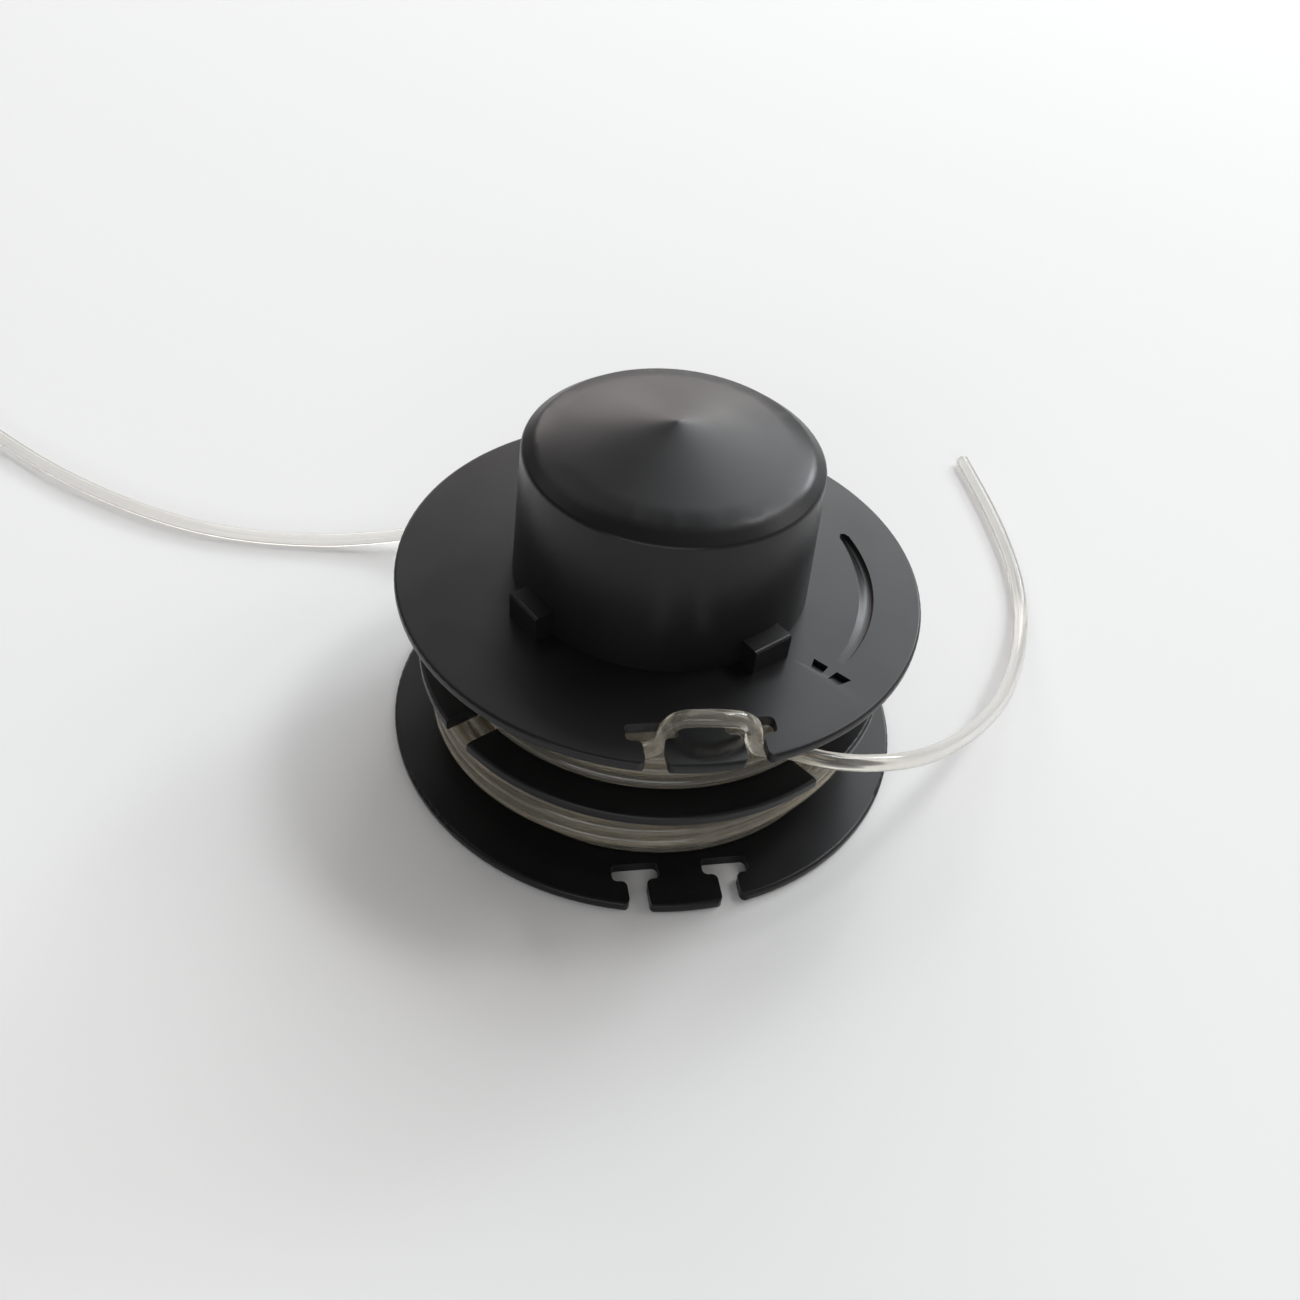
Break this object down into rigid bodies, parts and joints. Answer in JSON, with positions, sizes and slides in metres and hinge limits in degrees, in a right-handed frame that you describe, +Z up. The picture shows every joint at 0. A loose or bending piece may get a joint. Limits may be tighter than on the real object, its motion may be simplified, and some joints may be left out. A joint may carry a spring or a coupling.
{
  "type": "trimmer line spool",
  "caption": "Round black spool with a hat-like bump knob, notched flanges and a divider disc, wound with clear nylon cutting line whose free tails lie to each side.",
  "frame": {"origin": "centre of the lower flange's underside, on the spool's axis", "axes": "+Z up along the spool's axis, from the lower flange to the knob's tip; -Y towards the paired line notches in front"},
  "size_m": [0.1748, 0.103, 0.0467],
  "materials": {
    "moulding": "satin moulded",
    "line": "clear drawn nylon"
  },
  "bodies": {
    "root": {"spool": "moulding", "upper_winding": "line", "lower_winding": "line", "upper_tail": "line", "lower_tail": "line"}
  },
  "joints": []
}
